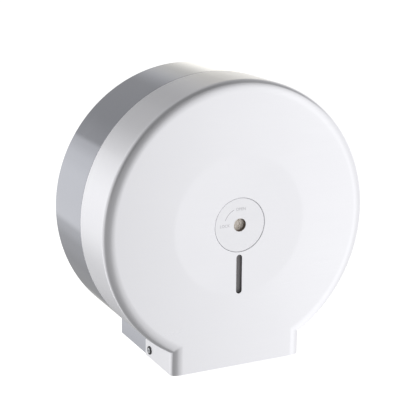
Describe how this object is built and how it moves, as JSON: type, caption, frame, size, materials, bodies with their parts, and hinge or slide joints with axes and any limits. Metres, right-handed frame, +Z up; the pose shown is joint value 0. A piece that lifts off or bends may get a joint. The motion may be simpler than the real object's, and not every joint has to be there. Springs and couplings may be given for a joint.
{
  "type": "toilet roll dispenser",
  "caption": "Round wall dispenser for a large toilet roll: steel drum in two halves, hinged cover with lock and sight slot, outlet below, turning hub inside.",
  "frame": {"origin": "on the wall plane, on the axis of the round drum: the middle of the flat back", "axes": "+X to the right as seen from the front, +Y into the wall, +Z up; the front faces -Y"},
  "size_m": [0.27, 0.125, 0.2738],
  "materials": {
    "satin_steel": "satin",
    "bright_steel": "polished",
    "plain_steel": "mill",
    "screw_steel": "polished",
    "spring_steel": "rolled",
    "light_plastic": "satin moulded",
    "grey_plastic": "moulded",
    "dark_plastic": "moulded",
    "zinc": "die cast",
    "smoked_acrylic": "polished",
    "foam": "closed cell foam"
  },
  "bodies": {
    "case": {"back_plate": "plain_steel", "tear_bar": "plain_steel", "spindle_base": "plain_steel", "spindle_axle": "plain_steel", "spindle_rivet_1": "plain_steel", "spindle_rivet_2": "plain_steel", "spindle_rivet_3": "plain_steel", "spindle_rivet_4": "plain_steel", "tear_bar_rivet_left": "plain_steel", "tear_bar_rivet_right": "plain_steel", "hinge_washer_left": "plain_steel", "hinge_washer_right": "plain_steel", "hinge_nut_left": "plain_steel", "hinge_nut_right": "plain_steel", "case_band": "bright_steel", "hinge_screw_left": "screw_steel", "hinge_screw_right": "screw_steel", "hub_clip": "spring_steel", "hub_rear_washer": "dark_plastic", "hub_front_washer": "dark_plastic"},
    "hub": {"roll_hub": "grey_plastic"},
    "cover": {"front_cover": "satin_steel", "lock_plate": "light_plastic", "lock_housing": "grey_plastic", "lock_screw_left": "plain_steel", "lock_screw_right": "plain_steel", "sight_lens": "smoked_acrylic", "lens_tape": "foam", "hinge_bush_left": "dark_plastic", "hinge_bush_right": "dark_plastic"},
    "lock": {"lock_rotor": "zinc", "lock_clip": "spring_steel"}
  },
  "joints": [
    {"name": "hub_spin", "type": "hinge", "parent": "case", "child": "hub", "pos_m": [0, -0.05, 0], "axis": [0, 1, 0], "continuous": true},
    {"name": "cover_hinge", "type": "hinge", "parent": "case", "child": "cover", "pos_m": [0, -0.0733, -0.1311], "axis": [1, 0, 0], "range_deg": [0, 150]},
    {"name": "lock_turn", "type": "hinge", "parent": "cover", "child": "lock", "pos_m": [0, -0.115, 0], "axis": [0, 1, 0], "range_deg": [-90, 0]}
  ]
}
